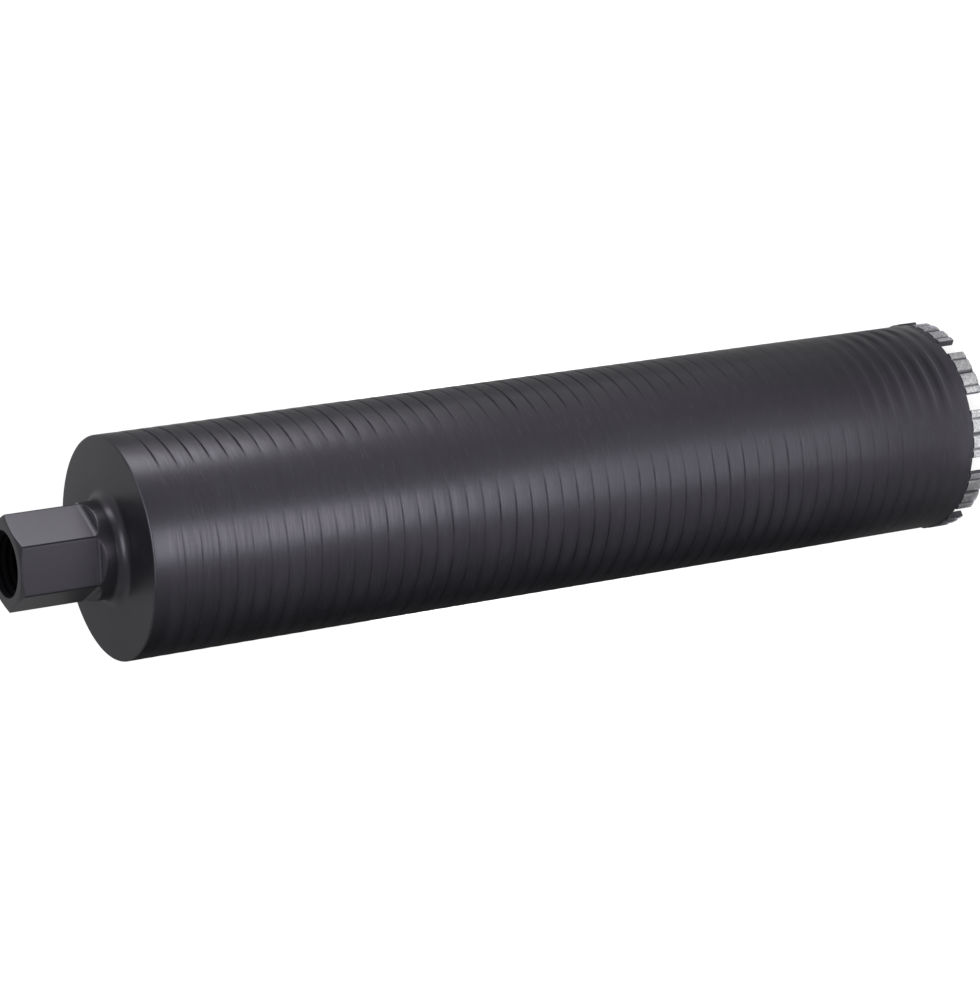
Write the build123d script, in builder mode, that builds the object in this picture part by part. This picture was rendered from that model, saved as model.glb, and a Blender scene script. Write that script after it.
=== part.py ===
from build123d import *

import math
import os

# Driving sizes, in millimetres and degrees. Z = 0 is the plane that the crown cuts on,
# and +Z runs up the bit's own axis, through the barrel, to the hub's threaded end.

# Barrel: one length of steel tube.
tube_diameter = 108.0
tube_wall = 2.5
tube_length = 457.0

# Crown: sintered segments, evenly spaced round the end of the tube.
segment_count = 10
segment_height = 10.0
segment_length = 24.5
segment_thickness = 3.5
segment_side_step = 0.7
segment_tip_bevel = 0.6
crown_turn = -7.0

# Ribs on a segment's outer face, left standing between grooves along the bit's axis.
middle_groove_width = 4.4
middle_groove_depth = 1.3
side_groove_width = 3.0
side_groove_depth = 0.9
side_groove_offset = 8.2

# Braze bead: it runs a little way up the outside of the tube from each segment's foot.
bead_height = 4.0
bead_thickness = 0.4

# Hub: one turned and milled piece of steel that closes the tube's upper end.
plate_rim_height = 8.0
spigot_depth = 6.0
spigot_clearance = 0.1
spigot_bevel = 1.0
hub_projection = 52.0
hex_across_flats = 41.0
hex_corner_land = 0.08
flat_end_height = 13.0
run_out_angle = 40.0
root_fillet = 5.5
end_bevel_height = 1.3
end_face_inset = 0.3
rim_bevel = 0.5

# Bore of the hub: threaded for the drill spindle, then open down to the tube for water.
thread_radius = 15.875
thread_length = 45.0
tap_drill_radius = 14.0
mouth_bevel = 0.4

# Sizes that follow from the ones above.
tube_radius = tube_diameter / 2
tube_bore_radius = tube_radius - tube_wall
tube_top = segment_height + tube_length

segment_outer_radius = tube_radius + segment_side_step
segment_inner_radius = segment_outer_radius - segment_thickness
segment_middle_radius = segment_outer_radius - segment_thickness / 2
segment_angle = math.degrees(segment_length / segment_middle_radius)
segment_pitch = 360 / segment_count

hub_face = tube_top + plate_rim_height
hub_top = hub_face + hub_projection
flat_radius = hex_across_flats / 2
collar_radius = flat_radius / math.cos(math.pi / 6) - hex_corner_land
cutter_reach = collar_radius - flat_radius + 1
run_out_drop = cutter_reach * math.tan(math.radians(run_out_angle))
spigot_radius = tube_bore_radius - spigot_clearance


def groove_outline(offset, width, depth):
    """A V that opens through the outer face, offset along that face from the middle."""
    turn = offset / segment_outer_radius
    half = width / segment_outer_radius / 2
    mouth = segment_outer_radius / math.cos(half)
    bottom = segment_outer_radius - depth
    corners = ((mouth, turn - half), (mouth + depth, turn), (mouth, turn + half), (bottom, turn))
    return [(r * math.cos(a), r * math.sin(a)) for r, a in corners]


def ring_sector(inner_radius, outer_radius):
    """A piece of a flat ring, one segment long, centred on the sketch's own X axis."""
    with BuildSketch(mode=Mode.PRIVATE) as sector:
        with BuildLine():
            outer = CenterArc((0, 0), outer_radius, -segment_angle / 2, segment_angle)
            inner = CenterArc((0, 0), inner_radius, -segment_angle / 2, segment_angle)
            Line(outer @ 0, inner @ 0)
            Line(outer @ 1, inner @ 1)
        make_face()
    return sector.sketch


os.makedirs("parts", exist_ok=True)

# The barrel is a plain steel tube, square at both ends. The segments stand on its lower end,
# and the hub's plate closes its upper end.
with BuildPart() as barrel:
    with BuildSketch(Plane.XY.offset(segment_height)):
        Circle(tube_radius)
        Circle(tube_bore_radius, mode=Mode.SUBTRACT)
    extrude(amount=tube_length)
barrel.part.label = "barrel"
export_step(barrel.part, "parts/barrel.step")

# The hub is turned as one blank: a spigot that plugs the tube, a plate as wide as the tube,
# and a round collar that rises from the plate through a generous fillet.
with BuildPart() as hub:
    with BuildSketch(Plane.XZ):
        with BuildLine():
            Polyline(
                (0, tube_top - spigot_depth),
                (spigot_radius, tube_top - spigot_depth),
                (spigot_radius, tube_top),
                (tube_radius, tube_top),
                (tube_radius, hub_face),
                (collar_radius, hub_face),
                (collar_radius, hub_top - end_bevel_height),
                (flat_radius - end_face_inset, hub_top),
                (0, hub_top),
                close=True,
            )
        make_face()
    revolve(axis=Axis.Z)

    round_edges = hub.edges().filter_by(GeomType.CIRCLE)
    collar_root = round_edges.filter_by_position(Axis.Z, hub_face, hub_face).sort_by(SortBy.RADIUS)[0]
    plate_edge = round_edges.filter_by_position(Axis.Z, hub_face, hub_face).sort_by(SortBy.RADIUS)[-1]
    spigot_edge = round_edges.group_by(Axis.Z)[0]
    fillet(collar_root, radius=root_fillet)
    chamfer(plate_edge, length=rim_bevel)
    chamfer(spigot_edge, length=spigot_bevel)

    # Six wrench flats are milled down the collar. The cutter leaves a sloping wall where each
    # one ends, so a crescent of it shows between the flat and the collar.
    with BuildSketch(Plane.XZ, mode=Mode.PRIVATE) as cutter_side:
        with BuildLine():
            Polyline(
                (flat_radius, hub_face + flat_end_height),
                (flat_radius + cutter_reach, hub_face + flat_end_height - run_out_drop),
                (flat_radius + cutter_reach, hub_top + 1),
                (flat_radius, hub_top + 1),
                close=True,
            )
        make_face()
    cutter = extrude(cutter_side.sketch, amount=collar_radius, both=True, mode=Mode.PRIVATE)
    with PolarLocations(0, 6):
        add(cutter, mode=Mode.SUBTRACT)

    # The bore is drilled through for the tap. The thread's own length is open to its full
    # diameter, and its mouth is bevelled.
    with Locations((0, 0, hub_top)):
        CounterBoreHole(
            radius=tap_drill_radius,
            counter_bore_radius=thread_radius,
            counter_bore_depth=thread_length,
        )
    mouth = hub.edges().filter_by(GeomType.CIRCLE).group_by(Axis.Z)[-1].sort_by(SortBy.RADIUS)[0]
    chamfer(mouth, length=mouth_bevel)
hub.part.label = "hub"
export_step(hub.part, "parts/hub.step")

# Each segment is a pressed block of metal and diamond grit. Its outer face has four ribs
# between three grooves, its tip is bevelled, and its foot carries the braze bead.
for index in range(segment_count):
    seat = Plane.XY.rotated((0, 0, crown_turn + index * segment_pitch))
    with BuildPart() as segment:
        with BuildSketch(seat):
            add(ring_sector(segment_inner_radius, segment_outer_radius))
        extrude(amount=segment_height)
        tip_arcs = segment.edges().filter_by(GeomType.CIRCLE).group_by(Axis.Z)[0]
        chamfer(tip_arcs, length=segment_tip_bevel)
        with BuildSketch(seat):
            for outline in (
                groove_outline(-side_groove_offset, side_groove_width, side_groove_depth),
                groove_outline(0, middle_groove_width, middle_groove_depth),
                groove_outline(side_groove_offset, side_groove_width, side_groove_depth),
            ):
                Polygon(*outline, align=None)
        extrude(amount=segment_height, mode=Mode.SUBTRACT)
        with BuildSketch(seat.offset(segment_height)):
            add(ring_sector(tube_radius, tube_radius + bead_thickness))
        extrude(amount=bead_height)
    name = f"segment_{index + 1:02d}"
    segment.part.label = name
    export_step(segment.part, f"parts/{name}.step")
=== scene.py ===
import math

import bmesh
import bpy
import numpy as np
from mathutils import Matrix, Vector


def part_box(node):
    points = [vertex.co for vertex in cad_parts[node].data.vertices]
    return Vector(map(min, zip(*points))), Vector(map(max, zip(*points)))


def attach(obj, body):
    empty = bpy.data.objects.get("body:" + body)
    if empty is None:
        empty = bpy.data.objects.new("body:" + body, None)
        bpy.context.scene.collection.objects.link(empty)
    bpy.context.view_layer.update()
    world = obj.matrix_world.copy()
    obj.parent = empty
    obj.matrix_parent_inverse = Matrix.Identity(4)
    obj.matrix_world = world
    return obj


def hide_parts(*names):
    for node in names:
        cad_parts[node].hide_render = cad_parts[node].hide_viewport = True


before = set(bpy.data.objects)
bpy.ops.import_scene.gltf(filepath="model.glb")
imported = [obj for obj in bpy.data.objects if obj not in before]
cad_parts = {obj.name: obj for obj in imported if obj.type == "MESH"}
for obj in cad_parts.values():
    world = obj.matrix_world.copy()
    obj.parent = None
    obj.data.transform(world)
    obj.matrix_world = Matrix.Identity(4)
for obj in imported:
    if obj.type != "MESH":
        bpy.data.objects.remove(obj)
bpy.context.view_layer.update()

# The barrel is one length of steel tube. The rolls that straightened it left a spiral mark, with
# a gently crowned band between its turns, and satin black paint covers the whole outside.
mm = 0.001
barrel_low, barrel_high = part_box("barrel")
barrel_radius = barrel_high.x
barrel_wall = 2.5 * mm

spiral_pitch = 8.8 * mm
spiral_zero = 277.5 * mm            # height of the mark where it crosses the +X side
mark_depth = 0.1 * mm
mark_half_width = 0.46 * mm
deep_side = math.radians(-139)      # one side the rolls bit deepest on, all along
deep_side_fade = (0.7, 0.94)        # cosine of the angle from it where the bite starts, and is full
other_side = math.radians(-40)      # and another, which fades towards the crown
other_side_fade = (0.86, 0.97)
faintest_bite = 0.02                # what the rolls left on all other sides
crowning = 0.07 * mm
second_mark = 0.376                 # place of the fainter second mark, as a share of the pitch
second_mark_depth = 0.045 * mm
second_mark_fade = (0.5, 0.8)       # cosines from the deep side, as above
second_mark_reach = 70 * mm         # how far from the hub it can still be seen
plain_margin = 1.5 * mm             # unmarked stretch at each end of the tube
soft_end = 52 * mm                  # near the crown low ridges take the place of the marks
ridge_side = math.radians(-62)
ridge_side_fade = (0.7, 0.95)
ridge_half_width = 0.75 * mm
ridge_rise = 0.16 * mm
ridge_place = 0.15                  # as a share of the pitch
valley_place = 0.6
valley_half_width = 1.9 * mm
valley_shade = 0.6               # painted shade in a valley, beside a mark's, which counts as 1
crest_highlight = 0.9                    # painted highlight on a ridge, as a share of the grey
band_highlight = 0.16                    # painted highlight on the faint bands
patch_size = 14 * mm                # how far along it a mark keeps its depth
wander = 0.3 * mm                   # how far a mark strays from a true spiral
wander_size = 16.8 * mm             # how far along it a mark strays one way
wave_side = math.radians(-155)      # where faint bands, painted as highlights, show between the marks
wave_side_fade = (0.75, 0.97)

barrel_columns = 110
turn_rows = (                       # shares of the pitch, crowded at the two marks
    0, 0.03, 0.06, 0.1, 0.15, 0.2, 0.27, 0.335, 0.376, 0.417, 0.52, 0.64, 0.77, 0.9, 0.94, 0.97,
)
bore_rows = 12
merge_distance = 0.0005 * mm        # points closer than this become one
crease_angle = math.radians(32)     # a sharper bend than this shades as an edge


def smooth_step(value, start, end):
    """0 before start, 1 after end, and 3t^2 - 2t^3 between them; start may be above end."""
    share = np.clip((value - start) / (end - start), 0, 1)
    return share * share * (3 - 2 * share)


def around(columns):
    """Evenly spaced angles for one full turn, with the first repeated at the end."""
    return np.linspace(0, 2 * math.pi, columns + 1)


def cylinder_points(radius, angle, height):
    """Points at (radius * cos(angle), radius * sin(angle), height), for grids of all three."""
    radius, angle, height = np.broadcast_arrays(radius, angle, height)
    return np.stack((radius * np.cos(angle), radius * np.sin(angle), height), axis=-1)


def spiral_heights(angle, fractions, pitch, zero, low, high):
    """Rows that climb one pitch a turn: zero + pitch * (angle / full turn + turn + fraction),
    for every turn between low and high, cut off flat at low and at high."""
    first = math.floor((low - zero) / pitch) - 2
    last = math.ceil((high - zero) / pitch) + 1
    turns = (np.arange(first, last)[:, None] + np.array(fractions)[None, :]).ravel()
    return np.clip(zero + pitch * (angle[None, :] / (2 * math.pi) + turns[:, None]), low, high)


def grid_faces(rows, columns, start=0):
    """The four corners of each cell of a grid, as numbers of its points counted from start."""
    index = start + np.arange(rows * columns).reshape(rows, columns)
    corners = (index[:-1, :-1], index[:-1, 1:], index[1:, 1:], index[1:, :-1])
    return np.stack(corners, axis=-1).reshape(-1, 4)


def closed_mesh(name, grids):
    """Joins grids of points into one closed mesh: each cell is a face, points that coincide are
    merged, and what has no area is dropped. A face points to columns x rows, which is outwards
    where columns go round with the angle and rows go up the outside and down the inside."""
    points, faces, start = [], [], 0
    for grid in grids:
        rows, columns = grid.shape[:2]
        faces.append(grid_faces(rows, columns, start))
        points.append(grid.reshape(-1, 3))
        start += rows * columns
    mesh = bpy.data.meshes.new(name)
    mesh.from_pydata(np.concatenate(points), [], np.concatenate(faces))
    work = bmesh.new()
    work.from_mesh(mesh)
    bmesh.ops.remove_doubles(work, verts=work.verts, dist=merge_distance)
    bmesh.ops.dissolve_degenerate(work, edges=work.edges, dist=merge_distance)
    work.to_mesh(mesh)
    work.free()
    mesh.shade_smooth()
    mesh.set_sharp_from_angle(angle=crease_angle)
    return mesh


def mesh_points(mesh):
    """The mesh's vertices as an array of one row each."""
    points = np.empty(len(mesh.vertices) * 3)
    mesh.vertices.foreach_get("co", points)
    return points.reshape(-1, 3)


def add_attribute(mesh, name, values):
    """Stores one number for each vertex, for the material to read by name."""
    attribute = mesh.attributes.new(name, "FLOAT", "POINT")
    attribute.data.foreach_set("value", values.astype(np.float32))


def add_object(name, data):
    """Puts a mesh, a lamp or a camera in the scene as an object of the given name."""
    made = bpy.data.objects.new(name, data)
    bpy.context.scene.collection.objects.link(made)
    return made


def place(name, mesh, material, slot, *nodes):
    """Shows a mesh as a piece on the part's one body, in the place of the named CAD nodes."""
    piece = add_object(name, mesh)
    mesh.materials.append(material)
    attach(piece, "root")
    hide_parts(*nodes)


def value_noise(points, size, seed):
    """Smooth noise from -1 to 1: random numbers on a lattice of the given size, blended in each
    cell by smooth steps in all three directions."""
    period = 64
    lattice = np.random.default_rng(seed).uniform(-1, 1, (period,) * 3)
    cell = np.floor(points / size).astype(int)
    blend = points / size - cell
    blend = blend * blend * (3 - 2 * blend)
    total = np.zeros(points.shape[:-1])
    for step in np.ndindex(2, 2, 2):
        weight = np.prod(np.where(np.array(step) == 1, blend, 1 - blend), axis=-1)
        corner = (cell + step) % period
        total += weight * lattice[corner[..., 0], corner[..., 1], corner[..., 2]]
    return total


def strayed(angle, height):
    """How far the spiral mark strays from its true height near a point, by smooth noise."""
    places = cylinder_points(barrel_radius, angle, height)
    return wander * value_noise(places, wander_size, seed=9)


def spiral_phase(angle, height):
    """How far a point is past the spiral mark, from 0 to 1 of the pitch."""
    climbed = height - spiral_zero - strayed(angle, height)
    return np.mod(climbed / spiral_pitch - angle / (2 * math.pi), 1)


def mark_section(phase, centre, half_width):
    """A smooth dip of depth 1: exp(-(distance / half_width)^2), measured round the pitch."""
    distance = np.abs(np.mod(phase - centre + 0.5, 1) - 0.5) * spiral_pitch
    return np.exp(-((distance / half_width) ** 2))


def mark_strength(angle, height):
    """How hard the rolls bit, from 0 to 1: on the deep side all along, though less near both
    ends, on the other side only away from the crown, and in patches along the mark."""
    along = (height - barrel_low.z) / (barrel_high.z - barrel_low.z)
    away_from_hub = 0.4 + 0.35 * smooth_step(along, 0.9, 0.6)
    away_from_crown = 0.4 + 0.6 * smooth_step(along, 0.08, 0.3)
    bite = smooth_step(np.cos(angle - deep_side), *deep_side_fade) * away_from_hub * away_from_crown
    other_bite = smooth_step(np.cos(angle - other_side), *other_side_fade) * smooth_step(along, 0.15, 0.5)
    bite = faintest_bite + (1 - faintest_bite) * np.maximum(bite, other_bite)
    places = cylinder_points(barrel_radius, angle, height)
    patches = value_noise(places, patch_size, seed=3) + 0.6 * value_noise(places, patch_size / 3, seed=4)
    return bite * np.clip(0.72 + 0.42 * patches, 0, 1)


def mark_depths(angle, height):
    """How deep the sharp marks are: the main one all along, and the second one near the hub, on
    the deep side."""
    phase = spiral_phase(angle, height)
    sharp = smooth_step(height, barrel_low.z + soft_end * 0.3, barrel_low.z + soft_end * 0.9)
    sharp = sharp * smooth_step(height, barrel_high.z - plain_margin * 0.3, barrel_high.z - plain_margin)
    shown_from = barrel_high.z - second_mark_reach
    near_hub = smooth_step(height, shown_from, barrel_high.z - second_mark_reach * 0.3)
    near_side = smooth_step(np.cos(angle - deep_side), *second_mark_fade)
    main = mark_depth * mark_section(phase, 0, mark_half_width)
    second = second_mark_depth * mark_section(phase, second_mark, mark_half_width)
    return sharp * mark_strength(angle, height) * np.maximum(main, second * near_hub * near_side)


def ridge_shares(angle, height, centre, half_width):
    """The low ridges near the crown, or the valleys between them, from 0 to 1, on one side."""
    places = cylinder_points(barrel_radius, angle, height)
    reach = smooth_step(height, barrel_low.z + soft_end * 1.5, barrel_low.z + soft_end * 0.5)
    reach = reach * smooth_step(height, barrel_low.z + 2 * plain_margin, barrel_low.z + 6 * plain_margin)
    side = smooth_step(np.cos(angle - ridge_side), *ridge_side_fade)
    patches = np.clip(0.65 + 0.5 * value_noise(places, patch_size, seed=5), 0, 1)
    return reach * side * patches * mark_section(spiral_phase(angle, height), centre, half_width)


def faint_bands(angle, height):
    """The painted highlight on the bands between the marks, from 0 to 1, on one side, faintly and
    in patches: (1 - cos(phase)) / 2."""
    side = smooth_step(np.cos(angle - wave_side), *wave_side_fade)
    places = cylinder_points(barrel_radius, angle, height)
    patches = np.clip(0.6 + value_noise(places, patch_size, seed=7), 0, 1)
    return side * patches * (1 - np.cos(2 * math.pi * spiral_phase(angle, height))) / 2


def barrel_surface(angle, height):
    """Radius of the tube's outside: its nominal radius, less the marks, less a crowned band
    between them, (1 + cos(phase)) / 2, and less what leaves the ridges standing."""
    ends = smooth_step(height, barrel_low.z, barrel_low.z + 4 * plain_margin)
    ends = ends * smooth_step(height, barrel_high.z, barrel_high.z - plain_margin)
    soft = smooth_step(height, barrel_low.z + soft_end * 1.6, barrel_low.z + soft_end * 0.6)
    band = crowning * (1 + np.cos(2 * math.pi * spiral_phase(angle, height))) / 2
    pushed_in = ridge_rise * soft * (1 - ridge_shares(angle, height, ridge_place, ridge_half_width))
    return barrel_radius - mark_depths(angle, height) - ends * (band * (1 - soft) + pushed_in)


def linear(hex_colour):
    """An sRGB hex colour, such as 1b1a1e, as the linear RGBA that a shader takes."""
    srgb = np.array([int(hex_colour[i:i + 2], 16) for i in (0, 2, 4)]) / 255
    rgb = np.where(srgb <= 0.04045, srgb / 12.92, ((srgb + 0.055) / 1.055) ** 2.4)
    return (*rgb, 1)


def add_node(tree, kind, settings, links=None):
    """Adds one node. A setting or a link is named after the node's property or input; inputs that
    share a name are given by number."""
    made = tree.nodes.new(kind)
    for key, value in settings.items():
        if isinstance(key, str) and hasattr(made, key):
            setattr(made, key, value)
        else:
            made.inputs[key].default_value = value
    for key, source in (links or {}).items():
        tree.links.new(source, made.inputs[key])
    return made


def new_material(name):
    """An empty node material, with its output and its place on the object ready to link."""
    material = bpy.data.materials.new(name)
    material.use_nodes = True
    tree = material.node_tree
    tree.nodes.clear()
    output = add_node(tree, "ShaderNodeOutputMaterial", {})
    place_on_object = add_node(tree, "ShaderNodeTexCoord", {}).outputs["Object"]
    return material, tree, output, place_on_object


def streaks(tree, spot, length, width, settings):
    """Noise drawn out round the axis, in streaks of the given length and width."""
    drawn_out = add_node(
        tree, "ShaderNodeMapping", {"Scale": (1 / length, 1 / length, 1 / width)}, {"Vector": spot}
    )
    noise = add_node(
        tree, "ShaderNodeTexNoise", {"Scale": 1, **settings}, {"Vector": drawn_out.outputs[0]}
    )
    return noise.outputs["Fac"]


def mixed(tree, share, first, second):
    """A colour that goes from the first to the second with the share. The second is an sRGB hex
    colour, and the first is another or comes from a node. Inputs 6 and 7 take the two."""
    mix = add_node(tree, "ShaderNodeMix", {"data_type": "RGBA", 7: linear(second)}, {0: share})
    if isinstance(first, str):
        mix.inputs[6].default_value = linear(first)
    else:
        tree.links.new(first, mix.inputs[6])
    return mix.outputs[2]


violet_cast = {                     # what the paint mirrors takes a faint violet cast
    "IOR": 1.5, "Specular IOR Level": 0.5, "Specular Tint": linear("f3eeff"),
}


def satin_black_paint(name, shade, worn_shade, streak_height, gloss_range, scratch_share):
    """Satin black stove paint sprayed on steel that was ground while it turned. The film is dark
    and dull, and its gloss is broken by fine rings from the grinding and by faint clouds. Where
    the mark attribute is set, the film is painted black with a metallic share that takes its
    reflection away, and made rough: painted shade in the marks, valleys and bore, and dark lines
    along the hexagon. Where the crest attribute is set it is painted grey as a highlight, and
    scratches are worn grey."""
    ring_width = 0.55 * mm          # real grinding rings are near 0.2 mm; drawn coarser to show
    ring_length = 22 * mm
    scratch_width = 0.4 * mm        # as coarse as the picture shows them
    scratch_length = 9 * mm
    cloud_size = 30 * mm
    peel_size = 1.3 * mm
    peel_height = 0.02 * mm
    marks_roughness = 0.6           # added to the film's own
    material, tree, output, spot = new_material(name)
    rings = streaks(tree, spot, ring_length, ring_width, {"Detail": 3, "Roughness": 0.6})
    scratches = streaks(tree, spot, scratch_length, scratch_width, {"Detail": 1})
    scratched = add_node(
        tree, "ShaderNodeMapRange",
        {"From Min": 0.6, "From Max": 0.72, "To Min": 0, "To Max": scratch_share}, {"Value": scratches},
    )
    clouds = add_node(tree, "ShaderNodeTexNoise", {"Scale": 1 / cloud_size, "Detail": 4}, {"Vector": spot})
    peel = add_node(tree, "ShaderNodeTexNoise", {"Scale": 1 / peel_size, "Detail": 2}, {"Vector": spot})
    marks = add_node(tree, "ShaderNodeAttribute", {"attribute_name": "mark"})
    crests = add_node(tree, "ShaderNodeAttribute", {"attribute_name": "crest"})
    highlight_and_scratch_share = add_node(
        tree, "ShaderNodeMath", {"operation": "MAXIMUM"},
        {0: crests.outputs["Fac"], 1: scratched.outputs["Result"]},
    )
    film = mixed(tree, clouds.outputs["Fac"], shade, worn_shade)
    # grey: a painted highlight on crests, and real wear on scratches
    highlit_and_scratched = mixed(tree, highlight_and_scratch_share.outputs[0], film, "3d3c42")
    # black: painted shade where the mark attribute is set
    colour = mixed(tree, marks.outputs["Fac"], highlit_and_scratched, "020203")
    gloss = add_node(
        tree, "ShaderNodeMapRange",
        {"From Min": 0.36, "From Max": 0.64, "To Min": gloss_range[0], "To Max": gloss_range[1]},
        {"Value": rings},
    )
    dulled = add_node(
        tree, "ShaderNodeMath", {"operation": "MULTIPLY_ADD", 1: marks_roughness, "use_clamp": True},
        {0: marks.outputs["Fac"], 2: gloss.outputs["Result"]},
    )
    # with the black colour, this metallic share takes the painted shade's reflection away
    painted_shade_metallic = add_node(
        tree, "ShaderNodeMath", {"operation": "MULTIPLY", 1: 0.8, "use_clamp": True},
        {0: marks.outputs["Fac"]},
    )
    ringed = add_node(tree, "ShaderNodeBump", {"Strength": 1, "Distance": streak_height}, {"Height": rings})
    skin = add_node(
        tree, "ShaderNodeBump", {"Strength": 0.35, "Distance": peel_height},
        {"Height": peel.outputs["Fac"], "Normal": ringed.outputs[0]},
    )
    paint = add_node(
        tree, "ShaderNodeBsdfPrincipled", violet_cast,
        {
            "Base Color": colour,
            "Metallic": painted_shade_metallic.outputs[0],
            "Roughness": dulled.outputs[0],
            "Normal": skin.outputs[0],
        },
    )
    tree.links.new(paint.outputs[0], output.inputs["Surface"])
    return material


barrel_angles = around(barrel_columns)
outside_heights = spiral_heights(
    barrel_angles, turn_rows, spiral_pitch, spiral_zero, barrel_low.z, barrel_high.z
)
inner_rows = (outside_heights > barrel_low.z) & (outside_heights < barrel_high.z)
outside_heights = outside_heights + inner_rows * strayed(barrel_angles[None, :], outside_heights)
outside_heights = np.clip(outside_heights, barrel_low.z, barrel_high.z)
outside_radii = barrel_surface(barrel_angles[None, :], outside_heights)
bore_radius = barrel_radius - barrel_wall
inside_heights = np.linspace(barrel_high.z, barrel_low.z, bore_rows)[:, None]
end_radii = np.linspace(barrel_radius, bore_radius, 3)[:, None]
barrel_mesh = closed_mesh(
    "barrel_tube",
    (
        cylinder_points(outside_radii, barrel_angles[None, :], outside_heights),
        cylinder_points(end_radii, barrel_angles[None, :], barrel_high.z),
        cylinder_points(bore_radius, barrel_angles[None, :], inside_heights),
        cylinder_points(end_radii[::-1], barrel_angles[None, :], barrel_low.z),
    ),
)
barrel_places = mesh_points(barrel_mesh)
barrel_turns = np.arctan2(barrel_places[:, 1], barrel_places[:, 0])
on_outside = np.hypot(barrel_places[:, 0], barrel_places[:, 1]) > barrel_radius - barrel_wall / 2
mark_shares = mark_depths(barrel_turns, barrel_places[:, 2]) / mark_depth
valleys = ridge_shares(barrel_turns, barrel_places[:, 2], valley_place, valley_half_width)
crests = ridge_shares(barrel_turns, barrel_places[:, 2], ridge_place, ridge_half_width)
bands = faint_bands(barrel_turns, barrel_places[:, 2])
# painted shade: the marks and the valleys near the crown are painted black
add_attribute(barrel_mesh, "mark", (mark_shares + valley_shade * valleys) * on_outside)
# painted highlight: grey on the ridges near the crown and on the faint bands
add_attribute(barrel_mesh, "crest", (crest_highlight * crests + band_highlight * bands) * on_outside)
barrel_paint = satin_black_paint(
    "satin_black_barrel_paint", "0f0e12", "1d1b21",
    streak_height=0.015 * mm, gloss_range=(0.28, 0.42), scratch_share=0.3,
)
place("barrel_tube", barrel_mesh, barrel_paint, "barrel_paint", "barrel")

# The hub is turned from one steel bar: a plate that closes the tube, a collar that flares into
# it, and a hexagon for the wrench, milled last. It is threaded inside and painted with the tube.
hub_low, hub_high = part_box("hub")
plate_radius = hub_high.x
plate_face = hub_high.z - 52 * mm   # the collar and the hexagon are 52 mm high
tube_end = barrel_high.z
rim_rounding = 0.95 * mm
spigot_radius = bore_radius - 0.1 * mm          # its clearance in the tube
spigot_bevel = 1 * mm
flat_distance = 20.5 * mm           # from the axis to a wrench flat, for a 41 mm wrench
collar_radius = flat_distance / math.cos(math.pi / 6) - 0.08 * mm   # just cuts the corners off
root_fillet = 5.5 * mm
flat_end = plate_face + 13.4 * mm   # where the flats run out, above the plate
run_out_slope = math.tan(math.radians(40))
cutter_rounding = 1.4 * mm          # how far each way the cutter's corner rounds a flat's end
end_bevel_height = 1.3 * mm
end_face_radius = flat_distance - 0.3 * mm
milled_edge = 0.32 * mm             # how much a milled edge is broken
least_reach = 0.05 * mm             # keeps rows apart where a flat meets the round collar
row_gap = 0.02 * mm
painted_light_side = math.radians(-97)       # the side where the plate's rim gets a painted highlight
painted_light_side_fade = (0.8, 0.95)        # cosines of the angle from it, as on the barrel
rim_highlight_depth = (0.8, 0.5)         # how far from the rim's corner its painted highlight starts, and is full, in roundings
arris_fade = (0.6 * mm, 0.1 * mm)   # how far from a corner its dark line starts, and is full
arris_darkness = 0.7
run_out_line_height = flat_end - 1.1 * mm        # height of a dark line below each flat's end
run_out_line_fade = (0.45 * mm, 0.15 * mm)
run_out_line_side_fade = (0.2, 0.5)
run_out_line_darkness = 0.5
radius_slack = 0.1 * mm             # for telling a face by its distance from the axis
collar_slack = 0.12 * mm

thread_radius = 15.875 * mm
thread_pitch = 25.4 * mm / 7
ridge_height = 1.875 * mm
ridge_rows = (0, 0.125, 0.423, 0.702)
ridge_shape = (0, 0, 1, 1)          # bare root, then crest, at those rows
thread_bottom = hub_high.z - 45 * mm
thread_start = 0.2 * mm             # the stretch in which the ridge rises at the bottom
mouth_bevel = 0.4 * mm
drill_radius = thread_radius - ridge_height     # of the hole that was drilled for the thread


def flats_around():
    """Angles for one turn that crowd together at the hexagon's six corners."""
    near_corner = np.radians((0, 0.12, 0.4, 0.9, 1.7))
    across_flat = np.linspace(math.radians(3), math.radians(57), 28)
    sector = np.concatenate((near_corner, across_flat, math.pi / 3 - near_corner[:0:-1]))
    sectors = [sector + math.pi / 6 + turn * math.pi / 3 for turn in range(6)]
    return np.append(np.concatenate(sectors), math.pi / 6 + 2 * math.pi)


def turned(profile, angles):
    """A grid for a profile of (radius, height) points that is turned round the Z axis."""
    profile = np.array(profile)
    return cylinder_points(profile[:, :1], angles[None, :], profile[:, 1:])


def arc(centre, radius, start, end, steps):
    """Points of an arc in the (radius, height) plane, from one angle to another, in degrees."""
    turn = np.radians(np.linspace(start, end, steps))
    return [(centre[0] + radius * math.cos(a), centre[1] + radius * math.sin(a)) for a in turn]


def smallest(one, other, blend):
    """The smaller of two values, with the corner between them rounded over a width of blend."""
    share = np.clip(0.5 + 0.5 * (other - one) / blend, 0, 1)
    return other + (one - other) * share - blend * share * (1 - share)


def eased_between(stations, counts):
    """Rows between neighbouring stations, crowded at both by (1 - cos(pi * t)) / 2."""
    rows = [stations[:1]]
    for low, high, count in zip(stations[:-1], stations[1:], counts):
        share = (1 - np.cos(math.pi * np.arange(1, count + 1) / count)) / 2
        rows.append(low + (high - low) * share[:, None])
    return np.concatenate(rows)


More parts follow.
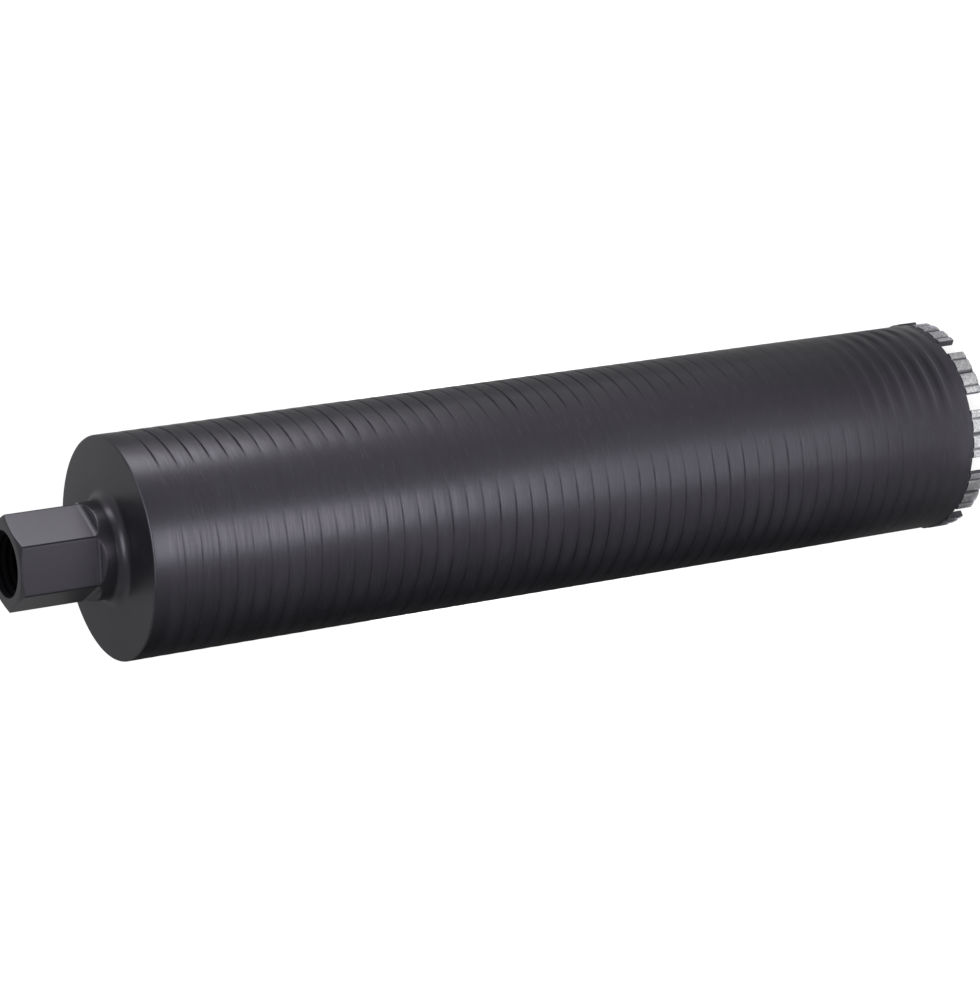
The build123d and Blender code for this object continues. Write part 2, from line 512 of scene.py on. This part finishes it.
def hexagon_grid(angles):
    """The collar with its wrench flats. A flat stands at flat_distance / cos(angle from its
    middle), and below its end it slopes outwards until it leaves the round collar."""
    off_middle = np.mod(angles + math.pi / 6, math.pi / 3) - math.pi / 6
    reach = np.maximum(collar_radius * np.cos(off_middle) - flat_distance, least_reach)
    flat_radius = np.minimum(flat_distance / np.cos(off_middle), collar_radius)
    bevel_share = (collar_radius - flat_radius) / (collar_radius - end_face_radius)
    stations = np.stack(
        (
            np.full_like(angles, plate_face + root_fillet),
            flat_end - reach * run_out_slope,
            np.full_like(angles, flat_end + cutter_rounding),
            hub_high.z - end_bevel_height * (1 - bevel_share) - row_gap,
            np.full_like(angles, hub_high.z),
        )
    )
    heights = eased_between(stations, (8, 16, 16, 8))
    bevel = np.clip((heights - hub_high.z + end_bevel_height) / end_bevel_height, 0, 1)
    round_radius = collar_radius - bevel * (collar_radius - end_face_radius)
    below = flat_end - heights
    rounded = np.clip(below + cutter_rounding, 0, None) ** 2 / (4 * cutter_rounding)
    slope = np.where(below > cutter_rounding, below, rounded) / run_out_slope
    flats = (flat_distance + slope) / np.cos(off_middle)
    radii = smallest(round_radius, flats, milled_edge)
    radii[0] = collar_radius
    radii[-1] = end_face_radius
    return cylinder_points(radii, angles[None, :], heights)


def thread_grid(angles):
    """The female thread, from the mouth down: straight flanks between flat roots and crests, on
    rows that climb with the thread, fading out over the last turn before the mouth."""
    mouth = hub_high.z - mouth_bevel
    heights = spiral_heights(angles, ridge_rows, thread_pitch, thread_bottom, thread_bottom, mouth)
    shape = np.resize(ridge_shape, len(heights))[:, None]
    fade = smooth_step(heights, mouth, mouth - thread_pitch)
    start = smooth_step(heights, thread_bottom, thread_bottom + thread_start)
    radii = thread_radius - ridge_height * shape * fade * start
    return cylinder_points(radii, angles[None, :], heights)[::-1]


hub_angles = flats_around()
plate_rim = arc((plate_radius - rim_rounding, plate_face - rim_rounding), rim_rounding, 0, 90, 6)
collar_flare = arc((collar_radius + root_fillet, plate_face + root_fillet), root_fillet, 270, 180, 16)
turned_profile = [
    (drill_radius, hub_low.z),
    (spigot_radius - spigot_bevel, hub_low.z),
    (spigot_radius, hub_low.z + spigot_bevel),
    (spigot_radius, tube_end),
    (plate_radius, tube_end),
    *plate_rim,
    *collar_flare,
]
end_profile = [
    (end_face_radius, hub_high.z),
    (thread_radius + mouth_bevel, hub_high.z),
    (thread_radius, hub_high.z - mouth_bevel),
]
drilled_profile = [
    (thread_radius, thread_bottom),
    (drill_radius, thread_bottom),
    (drill_radius, hub_low.z),
]
hub_mesh = closed_mesh(
    "threaded_hub",
    (
        turned(turned_profile, hub_angles),
        hexagon_grid(hub_angles),
        turned(end_profile, hub_angles),
        thread_grid(hub_angles),
        turned(drilled_profile, hub_angles),
    ),
)
hub_places = mesh_points(hub_mesh)
hub_radii = np.hypot(hub_places[:, 0], hub_places[:, 1])
hub_turns = np.arctan2(hub_places[:, 1], hub_places[:, 0])
hub_heights = hub_places[:, 2]
in_bore = hub_radii < thread_radius + radius_slack
on_hexagon = hub_radii > end_face_radius - radius_slack
on_flats = on_hexagon & (hub_heights > flat_end) & (hub_heights < hub_high.z - end_bevel_height)
on_run_out = on_hexagon & (hub_radii < collar_radius - collar_slack)
off_corner = np.abs(np.mod(hub_turns, math.pi / 3) - math.pi / 6) * hub_radii
painted_light_side_cosine = np.cos(hub_turns - painted_light_side)
arris = smooth_step(off_corner, *arris_fade) * on_flats
# a dark line below each flat's end, only on the side where the rim's highlight is painted
run_out_line = smooth_step(np.abs(hub_heights - run_out_line_height), *run_out_line_fade) * on_run_out
run_out_line = run_out_line * smooth_step(painted_light_side_cosine, *run_out_line_side_fade)
lines = np.maximum(arris_darkness * arris, run_out_line_darkness * run_out_line)
# painted highlight: grey along the plate's rim, on one side
off_rim = np.hypot(plate_radius - hub_radii, plate_face - hub_heights) / rim_rounding
rim_highlight = smooth_step(off_rim, *rim_highlight_depth) * smooth_step(painted_light_side_cosine, *painted_light_side_fade)
# painted shade: black in the bore; the same black draws dark lines along the hexagon's corners and below its
# flats
add_attribute(hub_mesh, "mark", np.maximum(in_bore, lines))
add_attribute(hub_mesh, "crest", rim_highlight)
hub_paint = satin_black_paint(
    "satin_black_hub_paint", "100f13", "17161a",
    streak_height=0.002 * mm, gloss_range=(0.33, 0.36), scratch_share=0.06,
)
place("threaded_hub", hub_mesh, hub_paint, "hub_paint", "hub")

# Ten segments cut the core. Each is metal powder and diamond grit, pressed and sintered into a
# curved block with four ribs, then brazed on. The barrel's paint runs over the braze to the foot.
segment_names = sorted(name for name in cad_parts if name.startswith("segment"))
segment_pitch = 2 * math.pi / len(segment_names)
crown_turn = math.radians(-7)       # where the first segment's middle stands
segment_height = barrel_low.z
segment_outer_radius = 54.7 * mm
segment_thickness = 3.5 * mm
segment_length = 24.5 * mm
segment_corner = 0.45 * mm
tip_rounding = 0.6 * mm
middle_radius = segment_outer_radius - segment_thickness / 2
half_length, half_thickness = segment_length / 2, segment_thickness / 2
grooves = (                         # place along the outer face, width and depth of each
    (-8.2 * mm, 3.0 * mm, 0.9 * mm),
    (0, 4.4 * mm, 1.3 * mm),
    (8.2 * mm, 3.0 * mm, 0.9 * mm),
)
groove_reach = (1.12, -0.35)        # in half widths, where a groove's soft side starts and ends
grit_size = 0.6 * mm
grit_height = 0.035 * mm
flush = 0.02 * mm                   # no grit closer than this to the cutting plane or the tube
bead_height = 4 * mm
bead_thickness = 0.4 * mm
bead_seat = barrel_radius - 0.25 * mm
paint_edge = 9.7 * mm               # height of the paint's lower edge on a segment's foot
skin_and_shade_depths = (0.3 * mm, 0.95 * mm)     # how deep in a groove the skin and painted shade start, and are full
# how dark the skin and painted shade in a groove get
groove_skin_and_shade = 0.9
skin_margin = 0.1 * mm              # full again this far from a block's end


def block_outline():
    """A block's outline: out along one end, round a corner and along the side, then the same
    mirrored. Returns places along the block and across its thickness."""
    turn = np.radians(np.linspace(0, 90, 5))
    end = np.linspace(0, half_thickness - segment_corner, 6)[:-1]
    side = np.linspace(half_length - segment_corner, 0, 42)[1:]
    corner_along = half_length - segment_corner * (1 - np.cos(turn))
    corner_across = half_thickness - segment_corner * (1 - np.sin(turn))
    along = np.concatenate((np.full_like(end, half_length), corner_along, side))
    across = np.concatenate((end, corner_across, np.full_like(side, half_thickness)))
    along = np.concatenate((along, -along[-2::-1]))
    across = np.concatenate((across, across[-2::-1]))
    return np.concatenate((along, along[-2::-1])), np.concatenate((across, -across[-2::-1]))


def rib_relief(along):
    """How much the grooves take off the outer face: V shapes, depth * (1 - distance / half
    width), softened at the bottom and at the lips."""
    relief = np.zeros_like(along)
    for centre, width, depth in grooves:
        distance = np.abs(along - centre * middle_radius / segment_outer_radius) / (width / 2)
        relief += depth * smooth_step(distance, *groove_reach) / smooth_step(0, *groove_reach)
    return relief


def segment_grid(middle):
    """A block as rows of its outline: a flat tip that spreads from the centre line, a rounded
    tip edge, the ribbed sides, and a flat foot that closes on the centre line."""
    along, across = block_outline()
    across = across - rib_relief(along) * np.clip(across / half_thickness, 0, 1)
    cap = np.linspace(0, 1, 8)[:-1]
    turn = np.radians(np.linspace(0, 90, 6))
    sides = np.linspace(tip_rounding, segment_height, 34)[1:]
    no_inset = np.zeros(len(sides) + len(cap))
    edge_inset, edge_height = tip_rounding * (1 - np.sin(turn)), tip_rounding * (1 - np.cos(turn))
    size = np.concatenate((cap, np.ones(len(turn) + len(sides)), cap[::-1]))[:, None]
    inset = np.concatenate((np.full_like(cap, tip_rounding), edge_inset, no_inset))[:, None]
    height = (np.zeros_like(cap), edge_height, sides, np.full_like(cap, segment_height))
    height = np.concatenate(height)[:, None]
    shrink = (half_length - inset - half_thickness * (1 - size)) / half_length
    thin = size * (half_thickness - inset) / half_thickness
    angle = middle + along[None, :] * shrink / middle_radius
    return cylinder_points(middle_radius + across[None, :] * thin, angle, height)[:, ::-1]


def bead_grid(middle):
    """The braze bead: a ramp that stands proud of its seat in the tube by (1 + cos(pi * rise)) / 2.
    It is as long as the segment, and closes on its seat at both ends."""
    rise = np.linspace(0, 1, 9)[:, None]
    reach = np.linspace(-1, 1, 61)[None, :]
    ends = np.sqrt(np.clip(1 - np.abs(reach) ** 14, 0, 1))
    ramp = (1 + np.cos(math.pi * rise)) / 2
    proud = (barrel_radius - bead_seat + bead_thickness) * ends
    angle = middle + reach * half_length / middle_radius
    outside = cylinder_points(bead_seat + proud * ramp, angle, segment_height + bead_height * rise)
    inside = cylinder_points(bead_seat, angle, segment_height + bead_height * rise[::-1])
    foot = outside[:1]
    return np.concatenate((outside, inside, foot))


def roughen(mesh, size, height, seed, ceiling):
    """Moves each vertex inwards, against its normal, by noise between 0 and height, below a
    ceiling; the bead above stays smooth."""
    points = mesh_points(mesh)
    normals = np.empty(len(mesh.vertices) * 3)
    mesh.vertex_normals.foreach_get("vector", normals)
    noise = (value_noise(points, size, seed) - 1) / 2
    noise = noise * (points[:, 2] < ceiling) * (points[:, 2] > flush)
    moved = points + normals.reshape(-1, 3) * (noise * height)[:, None]
    mesh.vertices.foreach_set("co", moved.astype(np.float32).ravel())
    mesh.update()


def skin_and_shade_share(points, middle):
    """1 where the mould's dark skin is left, on a block's ends and in the grooves, where the dark is
    also painted shade; 0 where the wheel dressed it off."""
    along = (np.arctan2(points[:, 1], points[:, 0]) - middle + math.pi) % (2 * math.pi) - math.pi
    along = along * middle_radius
    outer = np.hypot(points[:, 0], points[:, 1]) > middle_radius
    in_groove = groove_skin_and_shade * smooth_step(rib_relief(along) * outer, *skin_and_shade_depths)
    at_end = smooth_step(np.abs(along), half_length - segment_corner, half_length - skin_margin)
    return np.maximum(in_groove, at_end)


def sintered_metal(name):
    """Sintered bronze and cobalt: dressed faces are a bright, gritty grey in which each grain
    takes the light its own way, the mould's skin and the grooves' painted shade are dark, and
    black paint starts at the foot."""
    grain_size = 0.75 * mm          # grains are near 0.4 mm; drawn coarser to show
    bloom_size = 3 * mm
    ragged_height = 0.6 * mm        # how far the paint's edge wanders up and down
    painted_from, painted_to = paint_edge + 0.25 * mm, paint_edge + 0.4 * mm
    pit_depth = 0.08 * mm
    material, tree, output, spot = new_material(name)
    grains = add_node(
        tree, "ShaderNodeTexVoronoi", {"Scale": 1 / grain_size, "Randomness": 1}, {"Vector": spot}
    )
    bloom = add_node(tree, "ShaderNodeTexNoise", {"Scale": 1 / bloom_size, "Detail": 5}, {"Vector": spot})
    height = add_node(tree, "ShaderNodeSeparateXYZ", {}, {"Vector": spot})
    ragged = add_node(
        tree, "ShaderNodeMath", {"operation": "MULTIPLY_ADD", 1: ragged_height},
        {0: bloom.outputs["Fac"], 2: height.outputs["Z"]},
    )
    painted = add_node(
        tree, "ShaderNodeMapRange",
        {"interpolation_type": "SMOOTHSTEP", "From Min": painted_from, "From Max": painted_to},
        {"Value": ragged.outputs[0]},
    )
    skin = add_node(tree, "ShaderNodeAttribute", {"attribute_name": "skin"})
    dressed = mixed(tree, grains.outputs["Color"], "808082", "bababc")
    # dark grey: the mould's skin on the ends, and skin with painted shade in the grooves
    skin_and_shade = mixed(tree, skin.outputs["Fac"], dressed, "4a4a4d")
    colour = mixed(tree, painted.outputs["Result"], skin_and_shade, "222126")
    metallic = add_node(
        tree, "ShaderNodeMapRange", {"To Min": 1, "To Max": 0}, {"Value": painted.outputs["Result"]}
    )
    roughness = add_node(
        tree, "ShaderNodeMapRange", {"From Min": 0.3, "From Max": 0.7, "To Min": 0.32, "To Max": 0.5},
        {"Value": bloom.outputs["Fac"]},
    )
    bare = add_node(
        tree, "ShaderNodeMath", {"operation": "MULTIPLY", 1: 0.7}, {0: metallic.outputs["Result"]}
    )
    pits = add_node(
        tree, "ShaderNodeBump", {"Distance": pit_depth},
        {"Height": grains.outputs["Distance"], "Strength": bare.outputs[0]},
    )
    metal = add_node(
        tree, "ShaderNodeBsdfPrincipled", violet_cast,
        {
            "Base Color": colour,
            "Metallic": metallic.outputs["Result"],
            "Roughness": roughness.outputs["Result"],
            "Normal": pits.outputs[0],
        },
    )
    tree.links.new(metal.outputs[0], output.inputs["Surface"])
    return material


segment_metal = sintered_metal("sintered_segment_metal")
for index, node in enumerate(segment_names):
    middle = crown_turn + index * segment_pitch
    segment_mesh = closed_mesh(f"ribbed_{node}", (segment_grid(middle), bead_grid(middle)))
    roughen(segment_mesh, grit_size, grit_height, seed=index, ceiling=segment_height - flush)
    add_attribute(segment_mesh, "skin", skin_and_shade_share(mesh_points(segment_mesh), middle))
    place(f"ribbed_{node}", segment_mesh, segment_metal, "sintered_metal", node)

# The studio: a white floor that runs to the horizon under an even white surround, upright
# softboxes at the right (upwards in the picture), in front and behind, one overhead, and sheets
# of card round the bit.
floor_half = 30.0
floor_shade = 0.3                   # of its matt part, which takes the object's shadow
floor_glow = 0.9                    # of its own light, which keeps it white in the picture
floor_in_reflections = 0.9
ambient_level = 0.4
world_in_reflections = 0.3

floor_corners = floor_half * np.array(((-1, -1, 0), (1, -1, 0), (1, 1, 0), (-1, 1, 0)))
floor_mesh = bpy.data.meshes.new("floor")
floor_mesh.from_pydata(floor_corners, [], [(0, 1, 2, 3)])
floor = add_object("floor", floor_mesh)


def seen_level(tree, in_reflections):
    """1 for rays from the camera, a lower level for rays in a reflection or through glass."""
    path = add_node(tree, "ShaderNodeLightPath", {})
    indirect = add_node(
        tree, "ShaderNodeMath", {"operation": "MAXIMUM"},
        {0: path.outputs["Is Glossy Ray"], 1: path.outputs["Is Transmission Ray"]},
    )
    lowered = add_node(
        tree, "ShaderNodeMath", {"operation": "MULTIPLY", 1: in_reflections}, {0: indirect.outputs[0]}
    )
    seen = add_node(
        tree, "ShaderNodeMath", {"operation": "MAXIMUM"},
        {0: path.outputs["Is Camera Ray"], 1: lowered.outputs[0]},
    )
    return seen.outputs[0]


floor_paint, tree, output, _ = new_material("matt_white_floor")
matt = add_node(tree, "ShaderNodeBsdfDiffuse", {"Color": (floor_shade, floor_shade, floor_shade, 1)})
lit = add_node(
    tree, "ShaderNodeMath", {"operation": "MULTIPLY", 1: floor_glow},
    {0: seen_level(tree, floor_in_reflections)},
)
glow = add_node(tree, "ShaderNodeEmission", {"Color": (1, 1, 1, 1)}, {"Strength": lit.outputs[0]})
both = add_node(tree, "ShaderNodeAddShader", {}, {0: matt.outputs[0], 1: glow.outputs[0]})
tree.links.new(both.outputs[0], output.inputs["Surface"])
floor_mesh.materials.append(floor_paint)

surround = bpy.data.worlds.new("white_surround")
bpy.context.scene.world = surround
surround.use_nodes = True
tree = surround.node_tree
tree.nodes.clear()
level = add_node(
    tree, "ShaderNodeMapRange", {"To Min": ambient_level, "To Max": 1},
    {"Value": seen_level(tree, world_in_reflections)},
)
sky = add_node(tree, "ShaderNodeBackground", {"Color": (1, 1, 1, 1)}, {"Strength": level.outputs["Result"]})
add_node(tree, "ShaderNodeOutputWorld", {}, {"Surface": sky.outputs[0]})


def softbox(name, location, target, size, power):
    """A lamp of the given width and height that faces a target."""
    lamp = bpy.data.lights.new(name, "AREA")
    lamp.shape = "RECTANGLE"
    lamp.size, lamp.size_y = size
    lamp.energy = power
    holder = add_object(name, lamp)
    holder.location = location
    holder.rotation_euler = (Vector(location) - Vector(target)).to_track_quat("Z", "Y").to_euler()
    holder.visible_camera = False


def upright_softbox(name, azimuth, distance, bottom, top, width, power):
    """A softbox that stands upright beside the bit and faces its axis: azimuth in degrees,
    lengths in metres and power in watts."""
    middle = (top + bottom) / 2
    turn = math.radians(azimuth)
    location = (distance * math.cos(turn), distance * math.sin(turn), middle)
    softbox(name, location, (0, 0, middle), (width, top - bottom), power)


upright_softbox(
    "upper_softbox", azimuth=-23.5, distance=0.6, bottom=0.13, top=0.8, width=0.22, power=2.25
)
upright_softbox(
    "front_softbox", azimuth=-110.5, distance=0.4, bottom=0.12, top=0.45, width=0.2, power=1.0
)
upright_softbox(
    "low_front_softbox", azimuth=-109, distance=0.15, bottom=0.005, top=0.24, width=0.09, power=0.085
)
upright_softbox(
    "rear_softbox", azimuth=70, distance=0.7, bottom=0.03, top=0.44, width=0.35, power=4.0
)
softbox(
    "overhead_softbox", location=(-0.08, -0.44, 1.02), target=(0, 0, 0.48), size=(0.4, 0.3), power=2.4
)


def card(name, radii, heights, fade_height, azimuths, foot_levels, top_levels):
    """A sheet of card that lies flat between two radii and then stands up as a wall. Only
    reflections see it. Its level, where 1 is white, is given at some azimuths in degrees: at
    the foot, and from fade_height above that to the top."""
    columns, wall_rows = 61, 25
    degrees = np.linspace(azimuths[0], azimuths[-1], columns)
    wall_heights = np.linspace(*heights, wall_rows)
    rows = np.concatenate(((heights[0],), wall_heights))[:, None]
    row_radii = np.full_like(rows, radii[1])
    row_radii[0] = radii[0]
    points = cylinder_points(row_radii, np.radians(degrees)[None, :], rows).reshape(-1, 3)
    share = np.clip((rows - heights[0]) / fade_height, 0, 1)
    foot, top = np.interp(degrees, azimuths, foot_levels), np.interp(degrees, azimuths, top_levels)
    shades = foot + (top - foot) * share
    mesh = bpy.data.meshes.new(name)
    mesh.from_pydata(points, [], grid_faces(*shades.shape))
    add_attribute(mesh, "level", shades.ravel())
    sheet = add_object(name, mesh)
    material, tree, output, _ = new_material(name)
    level = add_node(tree, "ShaderNodeAttribute", {"attribute_name": "level"})
    shade = add_node(tree, "ShaderNodeEmission", {"Color": (1, 1, 1, 1)}, {"Strength": level.outputs["Fac"]})
    tree.links.new(shade.outputs[0], output.inputs["Surface"])
    mesh.materials.append(material)
    sheet.visible_camera = False
    sheet.visible_diffuse = False
    sheet.visible_shadow = False


# The barrel mirrors lower_card, middle_card and upper_card, from the picture's lower side to its
# upper one. The hub's lower flat and the plate mirror far_card, and the segments mirror
# crown_card, which lies on the floor.
card(
    "lower_card", radii=(0.056, 0.08), heights=(0.0005, 0.472), fade_height=0.06,
    azimuths=(92, 150, 168, 183, 200, 217, 228, 236),
    foot_levels=(0.17, 0.16, 0.13, 0.17, 0.38, 0.62, 0.85, 0.9),
    top_levels=(0.06, 0.055, 0.02, 0.06, 0.26, 0.58, 0.85, 0.9),
)
card(
    "far_card", radii=(0.199, 0.2), heights=(0.38, 0.6), fade_height=0.075,
    azimuths=(50, 76, 142, 156),
    foot_levels=(0.5, 0.08, 0.08, 0.5),
    top_levels=(0.55, 0.32, 0.32, 0.55),
)
card(
    "upper_card", radii=(0.056, 0.12), heights=(0.0005, 0.475), fade_height=0.1,
    azimuths=(-14, 20, 28, 36, 40, 54, 62, 76, 92),
    foot_levels=(0.36, 0.36, 0.45, 0.65, 0.73, 0.57, 0.35, 0.17, 0.14),
    top_levels=(0.29, 0.32, 0.38, 0.58, 0.7, 0.68, 0.35, 0.11, 0.04),
)
card(
    "middle_card", radii=(0.056, 0.12), heights=(0.0005, 0.28), fade_height=0.27,
    azimuths=(-78, -66, -50, -30, -14.2),
    foot_levels=(0.9, 0.7, 0.52, 0.42, 0.4),
    top_levels=(0.9, 0.9, 0.9, 0.9, 0.9),
)
crown_levels = (0.9, 2.0, 2.0, 1.1, 0.85, 0.4, 0.15, 0.15)
card(
    "crown_card", radii=(0.056, 0.073), heights=(0.0008, 0.0012), fade_height=0.001,
    azimuths=(-140, -128, -92, -78, -50, 20, 40, 84),
    foot_levels=crown_levels, top_levels=crown_levels,
)

# The camera stands where the photographer's stood, on the hub's side, and is rolled on its side
# because the bit lies across that picture while it stands on its crown here.
view_azimuth = math.radians(-105.5)
view_elevation = math.radians(28.403)
view_roll = math.radians(-98.64)
view_distance = 1.81585
aim_point = Vector((0, 0, 0.2678))
lens_length = 133.82
sensor_width = 36.0

camera = bpy.data.cameras.new("camera")
camera.lens = lens_length
camera.sensor_width = sensor_width
camera_holder = add_object("camera", camera)
towards_camera = Vector(
    (
        math.cos(view_azimuth) * math.cos(view_elevation),
        math.sin(view_azimuth) * math.cos(view_elevation),
        math.sin(view_elevation),
    )
)
camera_holder.location = aim_point + towards_camera * view_distance
level_look = (-towards_camera).to_track_quat("-Z", "Y").to_matrix()
camera_holder.rotation_euler = (level_look @ Matrix.Rotation(view_roll, 3, "Z")).to_euler()
bpy.context.scene.camera = camera_holder
bpy.context.scene.view_settings.view_transform = "Standard"
